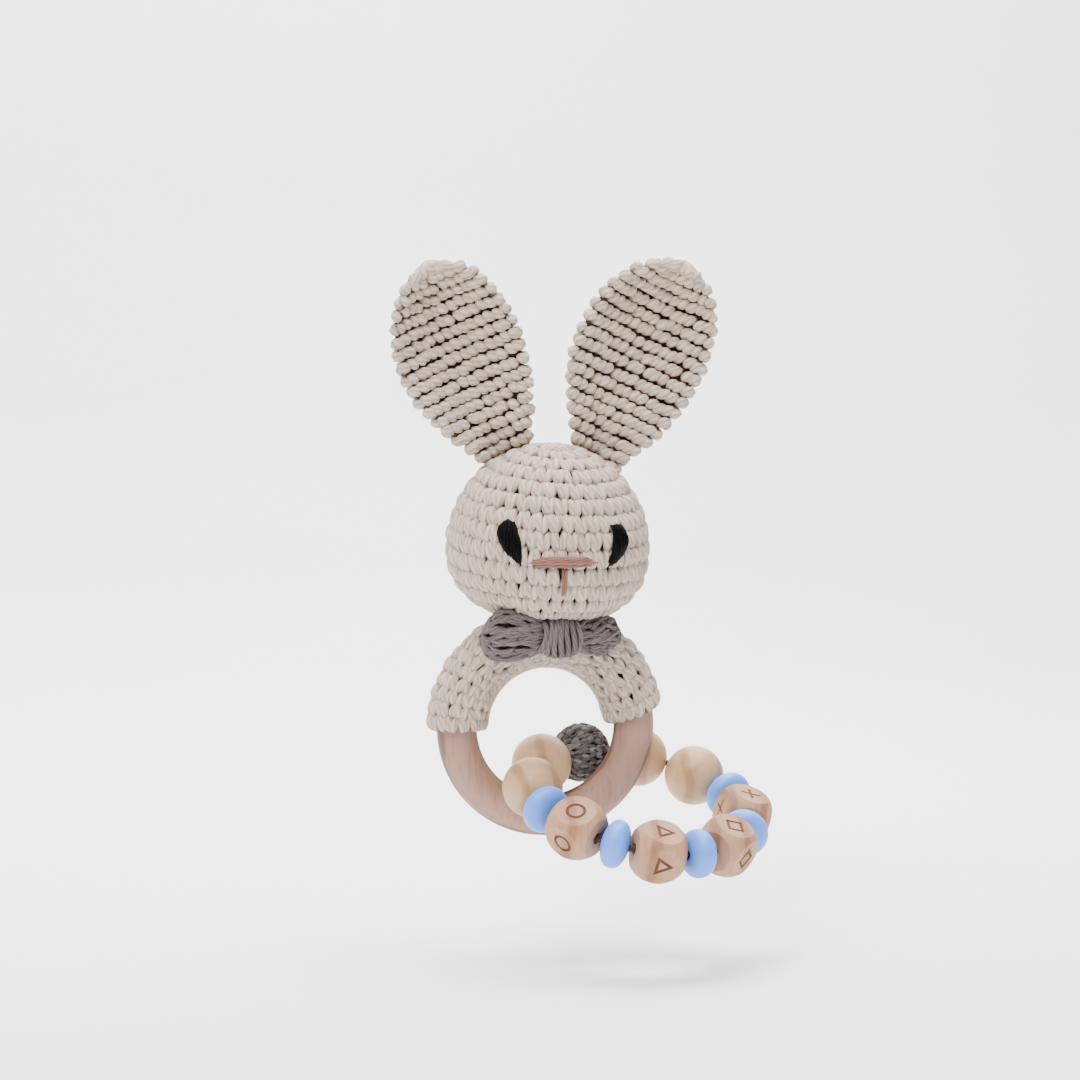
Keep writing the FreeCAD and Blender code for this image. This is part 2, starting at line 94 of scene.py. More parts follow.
# Beads
BEAD_RADIUS, BEAD_BORE = 7.5, 1.5
DISC_RADIUS, DISC_HALF, DISC_BORE = 6.0, 3.5, 1.3
CUBE_HALF, CUBE_GROOVE, CUBE_LINE = 6.0, 0.45, 0.8
CROSS_REACH = 2.6
BURN_SINK, BURN_RISE = 0.02, 0.2    # the burnt line, from just under the groove's floor to above it
BLOCK_MOTIF = {"block_bead_1": "ring", "block_bead_2": "triangle", "block_bead_3": "diamond",
               "block_bead_4": "cross"}
BLOCK_ROLL = {"block_bead_1": 25.0, "block_bead_2": 9.0, "block_bead_3": 9.0, "block_bead_4": 8.0}

FLOOR_DROP = 24.0    # the toy is held by its ring, and the bead loop can turn down this far


# --- camera and light -----------------------------------------------------------------------------
def add_camera():
    azimuth, elevation, distance = math.radians(-11.5), math.radians(3.5), 0.9
    target = Vector((-0.0014, 0.0, 0.0464))
    back = Vector((math.sin(azimuth) * math.cos(elevation), -math.cos(azimuth) * math.cos(elevation),
                   math.sin(elevation)))
    data = bpy.data.cameras.new("camera")
    data.lens, data.sensor_width, data.clip_start = 120.6, 36.0, 0.05
    camera = bpy.data.objects.new("camera", data)
    camera.location = target + back * distance
    camera.rotation_euler = (-back).to_track_quat("-Z", "Y").to_euler()
    bpy.context.collection.objects.link(camera)
    bpy.context.scene.camera = camera


def add_area_light(name, place, aim, size, power, colour):
    data = bpy.data.lights.new(name, "AREA")
    data.shape, data.size, data.energy, data.color = "DISK", size, power, colour
    light = bpy.data.objects.new(name, data)
    light.location = place
    light.rotation_euler = (Vector(aim) - Vector(place)).to_track_quat("-Z", "Y").to_euler()
    bpy.context.collection.objects.link(light)


def add_lights():
    world = bpy.data.worlds.new("studio")
    world.use_nodes = True
    world.node_tree.nodes["Background"].inputs["Color"].default_value = (1.0, 1.0, 1.0, 1)
    world.node_tree.nodes["Background"].inputs["Strength"].default_value = 0.38
    bpy.context.scene.world = world
    aim = (0, 0, 0.045)
    add_area_light("key", (-0.38, -0.50, 0.66), aim, 0.36, 8.6, (1.0, 0.985, 0.97))
    add_area_light("fill", (0.65, -0.5, 0.35), aim, 0.7, 1.5, (0.97, 0.985, 1.0))
    add_area_light("rim", (0.25, 0.45, 0.55), aim, 0.5, 2.4, (1.0, 1.0, 1.0))
    add_area_light("backdrop", (0, 0.15, 1.0), (0, 0.75, 0.3), 0.9, 38.0, (1.0, 1.0, 1.0))


# --- materials ------------------------------------------------------------------------------------
class Shader:
    """A Principled material with short ways to add nodes."""

    def __init__(self, name, roughness, **sockets):
        self.material = bpy.data.materials.new(name)
        self.material.use_nodes = True
        self.tree = self.material.node_tree
        self.bsdf = self.tree.nodes["Principled BSDF"]
        self.bsdf.inputs["Roughness"].default_value = roughness
        for socket, value in sockets.items():
            self.bsdf.inputs[socket.replace("_", " ")].default_value = value

    def add(self, kind, **values):
        node = self.tree.nodes.new("ShaderNode" + kind)
        for key, value in values.items():
            if hasattr(node, key):
                setattr(node, key, value)
            else:
                node.inputs[key.replace("_", " ")].default_value = value
        return node

    def link(self, source, target):
        self.tree.links.new(source, target)

    def attribute(self, name):
        return self.add("Attribute", attribute_name=name)

    def noise(self, vector, scale, detail=3.0):
        node = self.add("TexNoise", Scale=scale, Detail=detail)
        self.link(vector, node.inputs["Vector"])
        return node.outputs["Fac"]

    def ramp(self, value, stops):
        node = self.add("ValToRGB")
        elements = node.color_ramp.elements
        while len(elements) < len(stops):
            elements.new(0.5)
        for element, (position, colour) in zip(elements, stops):
            element.position, element.color = position, (*colour, 1)
        self.link(value, node.inputs["Fac"])
        return node.outputs["Color"]

    def blend(self, factor, one, other, mode="MIX"):
        node = self.add("Mix", data_type="RGBA", blend_type=mode)
        for socket, value in ((node.inputs[0], factor), (node.inputs[6], one), (node.inputs[7], other)):
            if isinstance(value, float):
                socket.default_value = value
            else:
                self.link(value, socket)
        return node.outputs[2]

    def stretched(self, vector, scale):
        node = self.add("Mapping")
        node.inputs["Scale"].default_value = scale
        self.link(vector, node.inputs["Vector"])
        return node.outputs["Vector"]

    def object_space(self):
        return self.add("TexCoord").outputs["Object"]

    def bump(self, height, strength, distance):
        node = self.add("Bump", Strength=strength, Distance=distance)
        self.link(height, node.inputs["Height"])
        self.link(node.outputs["Normal"], self.bsdf.inputs["Normal"])

    def finish(self, colour):
        self.link(colour, self.bsdf.inputs["Base Color"])
        return self.material


def yarn_material(name, light, dark, spread=0.10, lines=0.30, roughness=0.88, sheen=0.08):
    """Plied cotton yarn: painted shade between stitches and in the creases between plies, fine fibres, a tone per
    strand.
    """
    s = Shader(name, roughness, Sheen_Weight=sheen, Sheen_Roughness=0.5,
               Specular_IOR_Level=0.2 if sheen else 0.06)
    middle = tuple(0.45 * a + 0.55 * b for a, b in zip(light, dark))
    # painted shade: the shade level stored with the mesh darkens the yarn from light to dark where strands sink
    # into the fabric, on their undersides and on the under-layer
    base = s.ramp(s.attribute("deep").outputs["Fac"], ((0.0, dark), (0.38, middle), (0.80, light)))
    place = s.attribute("yarn").outputs["Vector"]
    split = s.add("SeparateXYZ")
    s.link(place, split.inputs["Vector"])
    ply = s.add("Math", operation="SINE")
    s.link(split.outputs["X"], ply.inputs[0])
    fibres = s.noise(s.stretched(place, (1.3, 1.3, 1.0)), 1.6, 4.0)
    height = s.add("Math", operation="MULTIPLY_ADD")
    s.link(ply.outputs["Value"], height.inputs[0])
    height.inputs[1].default_value = 0.35
    s.link(fibres, height.inputs[2])
    # painted shade in the creases between plies: where the ply height is low, the colour is darkened by lines
    low = 1.0 - lines
    ply_shade_colour = (low, low * 0.97, low * 0.93)
    ply_shade = s.ramp(height.outputs["Value"], ((0.15, ply_shade_colour), (0.62, (1.0, 1.0, 1.0))))
    low, high = 1 - spread, 1 + spread
    tone = s.ramp(s.attribute("tone").outputs["Fac"], ((0.0, (low, low, low)), (1.0, (high, high, high))))
    s.bump(height.outputs["Value"], 0.7, 0.0003)
    return s.finish(s.blend(1.0, s.blend(1.0, base, ply_shade, "MULTIPLY"), tone, "MULTIPLY"))


def wood_material(name, light, dark, direction, spacing, line, pores, roughness):
    """Turned wood: growth lines a few millimetres apart across direction, and short fine flecks."""
    s = Shader(name, roughness, Specular_IOR_Level=0.35)
    place = s.object_space()
    warp = s.add("TexNoise", Scale=38.0, Detail=2.0, Roughness=0.45)
    s.link(place, warp.inputs["Vector"])
    moved = s.add("VectorMath", operation="MULTIPLY_ADD")
    s.link(warp.outputs["Color"], moved.inputs[0])
    moved.inputs[1].default_value = [0.011 * (1 if d else 0.4) for d in direction]
    s.link(place, moved.inputs[2])
    bands = s.add("TexWave", wave_type="BANDS", wave_profile="SIN", Scale=1.0 / (spacing * MM * 20),
                  Distortion=0.6, Detail=1.5)
    bands.bands_direction = "XYZ"[max(range(3), key=lambda k: direction[k])]
    s.link(moved.outputs["Vector"], bands.inputs["Vector"])
    between = tuple(0.88 * a for a in light)
    late = s.ramp(bands.outputs["Fac"], ((0.0, light), (0.78, between), (0.97, line)))
    flecks = s.noise(s.stretched(place, (900.0, 900.0, 70.0)), 1.0, 3.0)
    fleck_colour = s.ramp(flecks, ((0.28, dark), (0.52, (1, 1, 1))))
    patches = s.ramp(s.noise(place, 60.0, 2.0), ((0.3, (0.93, 0.92, 0.90)), (0.7, (1.04, 1.03, 1.02))))
    colour = s.blend(pores, late, s.blend(1.0, late, fleck_colour, "MULTIPLY"))
    s.bump(flecks, 0.10, 0.0001)
    return s.finish(s.blend(1.0, colour, patches, "MULTIPLY"))


def soft_material(name, colour, roughness, variation, scale=220.0, **sockets):
    """Plastic, silicone or cord: a faint mottle on one colour."""
    s = Shader(name, roughness, **sockets)
    mottle = s.noise(s.object_space(), scale, 3.0)
    low, high = (tuple(c * (1 + k * variation) for c in colour) for k in (-1, 1))
    s.bump(mottle, 0.08, 0.0001)
    return s.finish(s.ramp(mottle, ((0.3, low), (0.7, high))))


def make_materials():
    # each yarn's second colour is its painted shade, the colour of the hollows between stitches and under strands
    cream, cream_shade = (0.56, 0.455, 0.375), (0.07, 0.040, 0.024)
    grey, grey_shade = (0.165, 0.136, 0.138), (0.018, 0.013, 0.013)
    return {
        "natural_crochet": yarn_material("natural_yarn", cream, cream_shade),
        "grey_crochet": yarn_material("grey_yarn", grey, grey_shade, 0.16, 0.45),
        "grey_marl": yarn_material("grey_marl_yarn", (0.21, 0.205, 0.20), (0.014, 0.013, 0.013), 0.6, 0.4),
        "black_thread": yarn_material("black_yarn", (0.0018, 0.0019, 0.0026), (0.0005, 0.0005, 0.0005),
                                      0.3, 0.3, 0.45, 0.0),
        "pink_thread": yarn_material("pink_yarn", (0.31, 0.145, 0.11), (0.11, 0.04, 0.025), 0.12, 0.45),
        "ring_beech": wood_material("ring_beech", (0.345, 0.208, 0.155), (0.66, 0.57, 0.50), (0, 1, 0), 1.3,
                                    (0.165, 0.085, 0.056), 0.55, 0.6),
        "pale_wood": wood_material("pale_maple", (0.55, 0.35, 0.19), (0.80, 0.72, 0.62), (1, 0, 0), 1.5,
                                   (0.36, 0.205, 0.10), 0.5, 0.42),
        "beech": wood_material("block_beech", (0.43, 0.235, 0.138), (0.70, 0.60, 0.50), (1, 0, 0), 1.4,
                               (0.27, 0.13, 0.07), 0.45, 0.58),
        "burnt": soft_material("burnt_line", (0.10, 0.032, 0.010), 0.8, 0.3, 900.0),
        "blue_silicone": soft_material("blue_silicone", (0.098, 0.258, 0.82), 0.42, 0.02,
                                       Subsurface_Weight=0.15, Subsurface_Scale=0.002),
        "cord": soft_material("dark_cord", (0.030, 0.018, 0.016), 0.75, 0.35, 1500.0),
        "natural_thread": soft_material("natural_thread", (0.62, 0.53, 0.44), 0.9, 0.12, 1500.0),
        "grey_thread": soft_material("grey_thread", (0.15, 0.13, 0.125), 0.9, 0.15, 1500.0),
        "filling": soft_material("fibre_filling", (0.80, 0.79, 0.77), 0.95, 0.08, 300.0),
        "capsule_plastic": soft_material("capsule_plastic", (0.80, 0.80, 0.78), 0.45, 0.02),
        "pellet_plastic": soft_material("pellet_plastic", (0.70, 0.20, 0.10), 0.3, 0.04),
    }


# --- meshes ---------------------------------------------------------------------------------------
def to_mesh(name, points, faces, material, body, attributes=None, smooth=True):
    """A mesh object from points in millimetres; attributes are per-point values for the materials."""
    mesh = bpy.data.meshes.new(name)
    mesh.from_pydata((np.asarray(points) * MM).tolist(), [], faces)
    mesh.update()
    mesh.polygons.foreach_set("use_smooth", [smooth] * len(mesh.polygons))
    for key, values in (attributes or {}).items():
        values = np.asarray(values, float)
        kind = "FLOAT" if values.ndim == 1 else "FLOAT_VECTOR"
        layer = mesh.attributes.new(key, kind, "POINT")
        layer.data.foreach_set("value" if kind == "FLOAT" else "vector", values.ravel())
    mesh.materials.append(material)
    piece = bpy.data.objects.new(name, mesh)
    bpy.context.collection.objects.link(piece)
    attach(piece, body)
    return piece


def unit(v):
    return v / np.maximum(np.linalg.norm(v, axis=-1, keepdims=True), 1e-9)


class Yarn:
    """Collects strands and an under-layer, then makes one mesh of them."""

    def __init__(self):
        self.points, self.faces, self.deep, self.yarn, self.tone = [], [], [], [], []
        self.count = 0

    def _store(self, points, faces, deep, yarn, tone):
        self.faces += (np.asarray(faces) + self.count).tolist()
        self.points.append(points)
        self.deep.append(deep)
        self.yarn.append(yarn)
        self.tone.append(tone)
        self.count += len(points)

    def strands(self, path, outward, radius, height, sides=8, ply_depth=0.04, twist=0.9):
        """Twisted yarn along many paths at once: path and outward (n, m, 3), radius and height (m,); height is the
        painted shade level, 0 darkest and 1 lightest, and the underside of each strand gets painted shade.
        """
        plies, flat = 5, 0.9
        n, m, _ = path.shape
        tangent = unit(np.gradient(path, axis=1))
        across = unit(np.cross(tangent, outward))
        up = np.cross(across, tangent)
        step = np.linalg.norm(np.diff(path, axis=1), axis=-1)
        along = np.concatenate([np.zeros((n, 1)), np.cumsum(step, axis=1)], axis=1)
        angle = 2 * math.pi * np.arange(sides) / sides - math.pi / 2
        turn = RNG.uniform(0, 6.28, (n, 1, 1))
        lobes = 1 + ply_depth * np.cos(plies * angle[None, None, :] - twist * along[:, :, None] + turn)
        r = np.asarray(radius)[None, :, None] * lobes
        c, s = np.cos(angle)[None, None, :], np.sin(angle)[None, None, :]
        ring = (path[:, :, None, :] + (r * c)[..., None] * across[:, :, None, :]
                + (r * s * flat)[..., None] * up[:, :, None, :])
        # painted shade: the underside of each strand is darker
        lift = np.broadcast_to(np.asarray(height)[None, :, None], (n, m, sides)) + 0.30 * (s - 1)
        tone = np.broadcast_to(RNG.uniform(0, 1, (n, 1, 1)), (n, m, sides))
        offset = RNG.uniform(0, 60, (n, 1, 1))
        phase = plies * angle[None, None, :] - twist * plies * along[:, :, None] * 0.4 + turn
        fibre = np.stack(np.broadcast_arrays(phase, along[:, :, None] * 0.35, offset), axis=-1)
        index = np.arange(n * m * sides).reshape(n, m, sides)
        here, there = index[:, :-1], index[:, 1:]
        quads = np.stack([here, np.roll(here, -1, 2), np.roll(there, -1, 2), there], axis=-1).reshape(-1, 4)
        self._store(ring.reshape(-1, 3), quads, lift.ravel(), fibre.reshape(-1, 3), tone.ravel())
        first = self.count - n * m * sides
        self.faces += (index[:, 0, ::-1] + first).tolist() + (index[:, -1] + first).tolist()

    def sheet(self, grid):
        """An under-layer from a grid of points (rows, columns, 3), closed round its columns, coloured all over
        with the darkest painted shade.
        """
        rows, columns, _ = grid.shape
        index = np.arange(rows * columns).reshape(rows, columns)
        here, there = index[:-1], index[1:]
        quads = np.stack([here, np.roll(here, -1, 1), np.roll(there, -1, 1), there], axis=-1).reshape(-1, 4)
        flat = grid.reshape(-1, 3)
        # painted shade: the under-layer is stored at shade level 0, the darkest
        self._store(flat, quads, np.full(len(flat), 0.0), flat * 0.8, np.full(len(flat), 0.5))

    def piece(self, name, material, body, slot):
        # the shade attribute carries the painted shade level to the yarn material
        return to_mesh(name, np.concatenate(self.points), self.faces, material, body,
                       {"deep": np.concatenate(self.deep), "yarn": np.concatenate(self.yarn),
                        "tone": np.concatenate(self.tone)})


class Surface:
    """A closed fabric surface: place(u, v) with u once round (0 to 1) and v along (0 to 1)."""

    def __init__(self, place):
        self.place, self.side = place, 1

    def facing(self, inner):
        """The surface with its normals away from an inner point, judged at u = 0, v = 0.5."""
        point, normal = self.at(np.array([0.0]), np.array([0.5]))
        self.side = 1 if np.dot(normal[0], point[0] - inner) > 0 else -1
        return self

    def at(self, u, v, lift=0.0):
        """Points lifted off the surface, and outward normals."""
        h = 1e-3
        v = np.clip(v, 0.0, 1.0)
        high, low = np.minimum(v + h, 1.0), np.maximum(v - h, 0.0)
        du = self.place(u + h, v) - self.place(u - h, v)
        dv = self.place(u, high) - self.place(u, low)
        normal = unit(np.cross(du, dv)) * self.side
        return self.place(u, v) + normal * np.asarray(lift)[..., None], normal

    def length_round(self, v):
        """Distance round the surface at v, and the u of each of its steps."""
        u = np.linspace(0, 1, 161)
        p = self.place(u, np.full_like(u, v))
        far = np.concatenate([[0], np.cumsum(np.linalg.norm(np.diff(p, axis=0), axis=1))])
        return far, u

    def length_along(self):
        """Average distance along the surface from v = 0, and the v of each of its steps."""
        v = np.linspace(0, 1, 121)
        lines = [self.place(np.full_like(v, u), v) for u in (0.0, 0.25, 0.5, 0.75)]
        far = np.mean([np.linalg.norm(np.diff(p, axis=0), axis=1) for p in lines], axis=0)
        return np.concatenate([[0], np.cumsum(far)]), v


def smooth_path(points, count):
    """Catmull-Rom points through a short list of points of any dimension."""
    p = np.array(points, float)
    p = np.vstack([2 * p[0] - p[1], p, 2 * p[-1] - p[-2]])
    spans = len(p) - 3
    out = []
    for t in np.linspace(0, spans - 1e-9, count):
        k, f = int(t), t - int(t)
        a, b, c, d = p[k:k + 4]
        out.append(0.5 * (2 * b + (c - a) * f + (2 * a - 5 * b + 4 * c - d) * f * f
                          + (3 * b - a - 3 * c + d) * f ** 3))
    return np.array(out)


# Each strand of a stitch: (across, along) in stitch cells, lift and radius in millimetres for a 3.8 mm cell.
V_LEGS = (((0.03, -0.58, -1.3, 0.85), (-0.12, -0.36, -0.25, 1.12), (-0.25, 0.00, 0.05, 1.22),
           (-0.33, 0.33, -0.15, 1.12), (-0.30, 0.58, -1.25, 0.80)),
          ((-0.03, -0.58, -1.3, 0.85), (0.12, -0.36, -0.25, 1.12), (0.25, 0.00, 0.05, 1.22),
           (0.33, 0.33, -0.15, 1.12), (0.30, 0.58, -1.25, 0.80)))
SLANT = (((-0.48, 0.27, -1.5, 0.75), (-0.28, 0.17, -0.25, 1.18), (0.0, 0.0, 0.25, 1.36),
          (0.28, -0.17, -0.25, 1.18), (0.48, -0.27, -1.5, 0.75)),)

# The bow's strands are longer, thinner and lie over one another.
LONG_LEGS = (((0.05, -0.75, -1.2, 0.70), (-0.10, -0.42, 0.0, 0.92), (-0.26, 0.00, 0.35, 0.98),
              (-0.40, 0.40, 0.0, 0.90), (-0.40, 0.72, -1.3, 0.66)),
             ((-0.05, -0.75, -1.4, 0.70), (0.16, -0.42, -0.25, 0.90), (0.24, 0.00, 0.05, 0.95),
              (0.34, 0.40, -0.30, 0.88), (0.38, 0.72, -1.4, 0.66)))


def crochet(surface, yarn, pitch, row, stitch, jitter, size=1.0, steps=9, start=0.0, stop=1.0, least=5,
            twist=0.9):
    """Rows of stitches over a surface between v = start and stop, each row half a stitch along."""
    far, vs = surface.length_along()
    first, last = np.interp((start, stop), vs, far)
    rows = max(1, round((last - first) / row))
    edges = np.interp(np.linspace(first, last, rows + 1), far, vs)
    for j in range(rows):
        low, high = edges[j], edges[j + 1]
        middle = 0.5 * (low + high)
        round_far, us = surface.length_round(middle)
        count = max(least, round(round_far[-1] / pitch))
        for strand in stitch:
            path = smooth_path(strand, steps)
            centre = (np.arange(count) + 0.5 + 0.5 * j)[:, None]
            bend = RNG.normal(0, jitter, (3, count, 1))
            across = centre + path[None, :, 0] * (1 + bend[2]) + bend[0]
            u = np.interp(np.mod(across / count, 1.0) * round_far[-1], round_far, us)
            v = middle + (high - low) * (path[None, :, 1] + 0.5 * bend[1])
            lift = (path[None, :, 2] + 1.2 * bend[2]) * size
            points, normals = surface.at(u, v, lift)
            # painted shade: the strand ends that dip into the fabric are darker
            height = np.clip(0.95 + path[:, 2] * 0.62, 0, 1)
            yarn.strands(points, normals, path[:, 3] * size, height, twist=twist)


def under_layer(surface, yarn, depth, rows, columns, start=0.0, stop=1.0):
    """A sheet a little below the stitches, seen between them, coloured with the darkest painted shade."""
    u = np.arange(columns) / columns
    v = np.linspace(start, stop, rows)
    grid = [surface.at(u, np.full_like(u, k), np.full_like(u, -depth))[0] for k in v]
    yarn.sheet(np.array(grid))


# --- head -----------------------------------------------------------------------------------------
def turned(points):
    """Head-local points nodded forward, rolled and put in place."""
    x, y, z = points[..., 0], points[..., 1], points[..., 2]
    c, s = math.cos(HEAD_NOD), math.sin(HEAD_NOD)
    y, z = c * y - s * z, s * y + c * z
    c, s = math.cos(HEAD_ROLL), math.sin(HEAD_ROLL)
    x, z = c * x + s * z, -s * x + c * z
    return np.stack([x, y, z], axis=-1) + HEAD_ORIGIN


def head_profile():
    """Share of the way along the outline, radius and height, from the bottom of the head up."""
    angle = np.linspace(-math.pi / 2, math.pi / 2, 241)
    reach = np.where(angle >= 0, HEAD_TOP - HEAD_WIDEST, HEAD_WIDEST - HEAD_BOTTOM)
    z = HEAD_WIDEST + reach * np.sin(angle)
    power = np.where(angle >= 0, HEAD_FULLNESS[1], HEAD_FULLNESS[0])
    share = np.abs(np.sin(angle))
    radius = HEAD_RADIUS * np.maximum(0, 1 - share ** power) ** (1 / power)
    far = np.concatenate([[0], np.cumsum(np.hypot(np.diff(radius), np.diff(z)))])
    return far / far[-1], radius, z


PROFILE = head_profile()


def head_place(u, v):
    """The head's surface: u once round from +X, v from the bottom up."""
    share, radius, z = PROFILE
    r, h = np.interp(v, share, radius), np.interp(v, share, z)
    a = 2 * math.pi * u
    return turned(np.stack(np.broadcast_arrays(r * np.cos(a), r * np.sin(a), h), axis=-1))


HEAD = Surface(head_place)


def add_head(materials):
    yarn = Yarn()
    under_layer(HEAD, yarn, depth=1.1, rows=48, columns=96, start=0.02, stop=0.995)
    crochet(HEAD, yarn, pitch=3.2, row=4.4, stitch=V_LEGS, start=0.05, stop=0.995, size=0.94, jitter=0.065)
    head = yarn.piece("head_crochet", materials["natural_crochet"], "bunny", "natural_crochet")
    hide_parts("head_cover")


def face_tree():
    """The head's surface as a tree for casting rays on."""
    rows, columns = 60, 90
    u, v = np.meshgrid(np.arange(columns) / columns, np.linspace(0.02, 0.99, rows))
    points = HEAD.at(u, v, np.zeros_like(u))[0]
    index = np.arange(rows * columns).reshape(rows, columns)
    quads = np.stack([index[:-1], np.roll(index[:-1], -1, 1), np.roll(index[1:], -1, 1), index[1:]],
                     axis=-1).reshape(-1, 4)
    return BVHTree.FromPolygons(points.reshape(-1, 3).tolist(), quads.tolist())


def on_face(tree, place, path, lift):
    """Points of a path (across, up) laid on the face at a place (azimuth, height), lifted off the skin."""
    azimuth, height = place
    a = math.radians(azimuth)
    out = Vector((math.sin(a), -math.cos(a), 0))
    across = Vector((math.cos(a), math.sin(a), 0))
    points, normals = [], []
    for (x, y), rise in zip(path, lift):
        start = Vector(HEAD_ORIGIN) + out * CAST_FROM + across * x + Vector((0, 0, height + y))
        hit, normal, _, _ = tree.ray_cast(start, -out)
        normal = normal if normal.dot(out) > 0 else -normal
        points.append(hit + normal * rise)
        normals.append(normal)
    return np.array(points), np.array(normals)


def add_stitches(name, node, tree, place, lines, radius, lift, material, slot):
    """Embroidery: each line is ((across, up) start, end, bulge) laid on the face."""
    yarn = Yarn()
    t = np.linspace(0, 1, 14)
    arch = np.sin(math.pi * t) ** 0.5
    for (x0, y0), (x1, y1), bulge in lines:
        path = [(x0 + (x1 - x0) * k + bulge * math.sin(math.pi * k), y0 + (y1 - y0) * k) for k in t]
        points, normals = on_face(tree, place, path, STITCH_END + (lift - STITCH_END) * arch)
        widths = radius * (0.55 + 0.45 * np.sin(math.pi * t) ** 0.6)
        # painted shade: an embroidery stitch is darker at its ends, where it goes into the fabric
        yarn.strands(points[None], normals[None], widths, 0.6 + 0.4 * arch, sides=10, ply_depth=0.12)
    piece = yarn.piece(name, material, "bunny", slot)
    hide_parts(node)


def add_face(materials):
    tree = face_tree()
    left = [((-1.9, 4.5), (-2.1, -0.4), -0.9), ((-1.6, 4.9), (-1.5, -1.8), -1.1),
            ((-1.1, 5.2), (-0.9, -2.9), -1.0), ((-0.6, 5.3), (-0.3, -3.7), -0.8),
            ((-0.1, 5.2), (0.3, -4.3), -0.5), ((0.4, 4.9), (0.9, -4.8), -0.2),
            ((0.8, 4.0), (1.4, -5.1), 0.1), ((1.2, 3.0), (1.9, -5.3), 0.3),
            ((1.6, 1.8), (2.4, -5.2), 0.4)]
    right = [((-1.6, 4.7), (-3.3, -4.7), 0.6), ((-1.1, 4.9), (-2.8, -5.2), 0.9),
             ((-0.5, 5.0), (-2.1, -5.2), 1.1), ((0.0, 5.0), (-1.4, -4.9), 1.2),
             ((0.5, 4.9), (-0.7, -4.4), 1.1), ((1.0, 4.7), (0.0, -3.8), 1.0),
             ((1.4, 4.3), (0.6, -3.1), 0.8), ((1.7, 3.7), (1.2, -2.3), 0.6)]
    for side, lines in (("left", left), ("right", right)):
        add_stitches(side + "_eye_embroidery", side + "_eye", tree, EYE_PLACES[side], lines, 0.52, 1.5,
                     materials["black_thread"], "black_thread")
    bar = [((-8.5, 0.0), (8.5, -0.1), 0), ((-8.2, 0.6), (7.6, 0.6), 0), ((-7.4, -0.65), (7.4, -0.6), 0),
           ((-6.0, 1.05), (6.6, 0.95), 0)]
    add_stitches("nose_embroidery", "nose_stitches", tree, NOSE_PLACE, bar, 0.5, 1.45,
                 materials["pink_thread"], "pink_thread")
    post = [((-0.3, -1.1), (-0.2, -8.4), 0), ((0.4, -1.1), (0.3, -8.2), 0)]
    add_stitches("mouth_embroidery", "mouth_stitch", tree, NOSE_PLACE, post, 0.42, 1.2,
                 materials["pink_thread"], "pink_thread")


# --- ears -----------------------------------------------------------------------------------------
def ear_surface(base, tip, half):
    base, tip = np.array(base), np.array(tip)
    length = np.linalg.norm(tip - base)
    along = (tip - base) / length
    front = unit(np.array([0, -1, 0]) + along * along[1])
    across = np.cross(along, front)
    t_out, share = zip(*EAR_OUTLINE)
    t_cup, cups = zip(*EAR_CUP)

    def place(u, v):
        width = half * np.interp(v, t_out, share)
        cup = np.interp(v, t_cup, cups)
        thick = EAR_THICK * (0.55 + 0.45 * np.minimum(1, np.interp(v, t_out, share) * 1.6))
        c, s = np.cos(2 * math.pi * u), np.sin(2 * math.pi * u)
        depth = -cup * s * s + 0.5 * thick * s * np.sqrt(1 + c * c)
        aside = EAR_SWAY * np.sin(math.pi * v) - c * width
        return (base + (v * length)[..., None] * along + aside[..., None] * across
                + depth[..., None] * front)

    return Surface(place)


def close_ear_tip(surface, yarn):
    """Short stitches over the tip, from the front of the ear to its back."""
    steps = 11
    down = np.array([0.945, 0.975, 1.0, 0.975, 0.945])
    for aside in np.linspace(-0.17, 0.17, 8):
        front, back = 0.25 + aside, 0.75 - aside
        u = np.array([front, front, front, back, back])
        points, normals = surface.at(u, down, np.array([-0.6, 0.1, 0.0, 0.1, -0.6]))
        far_side = surface.at(np.array([back]), np.array([1.0]), np.array([0.0]))[0][0]
        rise = unit(points[2] - points[1]) + unit(far_side - points[3])
        points[2] = 0.5 * (points[2] + far_side) + 0.5 * rise
        normals[2] = unit(rise)
        path, outward = smooth_path(points, steps), unit(smooth_path(normals, steps))
        widths = 0.7 + 0.5 * np.sin(np.linspace(0, math.pi, steps))
        yarn.strands(path[None], outward[None], widths, np.full(steps, 0.9))


def add_ears(materials):
    for name, (base, tip, half) in EARS.items():
        surface = ear_surface(base, tip, half)
        yarn = Yarn()
        under_layer(surface, yarn, depth=1.3, rows=40, columns=72, stop=0.94)
        slant = SLANT if name == "left_ear" else [[(-x, y, z, r) for x, y, z, r in SLANT[0]]]
        crochet(surface, yarn, pitch=2.25, row=3.3, stitch=slant, jitter=0.11, least=4)
        close_ear_tip(surface, yarn)
        ear = yarn.piece(name + "_crochet", materials["natural_crochet"], "bunny", "natural_crochet")
        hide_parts(name)


# --- sleeve and bow -------------------------------------------------------------------------------
def add_sleeve(materials):
    def place(u, v):
        a = 2 * math.pi * u
        start = np.radians(SLEEVE_END + SLEEVE_FLARE * np.cos(a))
        turn = start + v * (math.pi - start)
        out = RING_RADIUS + SLEEVE_TUBE * np.cos(a)
        return np.stack([out * np.cos(turn), -SLEEVE_TUBE * np.sin(a), out * np.sin(turn)], axis=-1)

    surface = Surface(place).facing(np.zeros(3))
    yarn = Yarn()
    under_layer(surface, yarn, depth=1.5, rows=60, columns=40, start=0.01, stop=0.99)
    crochet(surface, yarn, pitch=2.9, row=3.0, stitch=V_LEGS, size=0.88, jitter=0.13)
    sleeve = yarn.piece("sleeve_crochet", materials["natural_crochet"], "bunny", "natural_crochet")
    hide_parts("ring_sleeve")


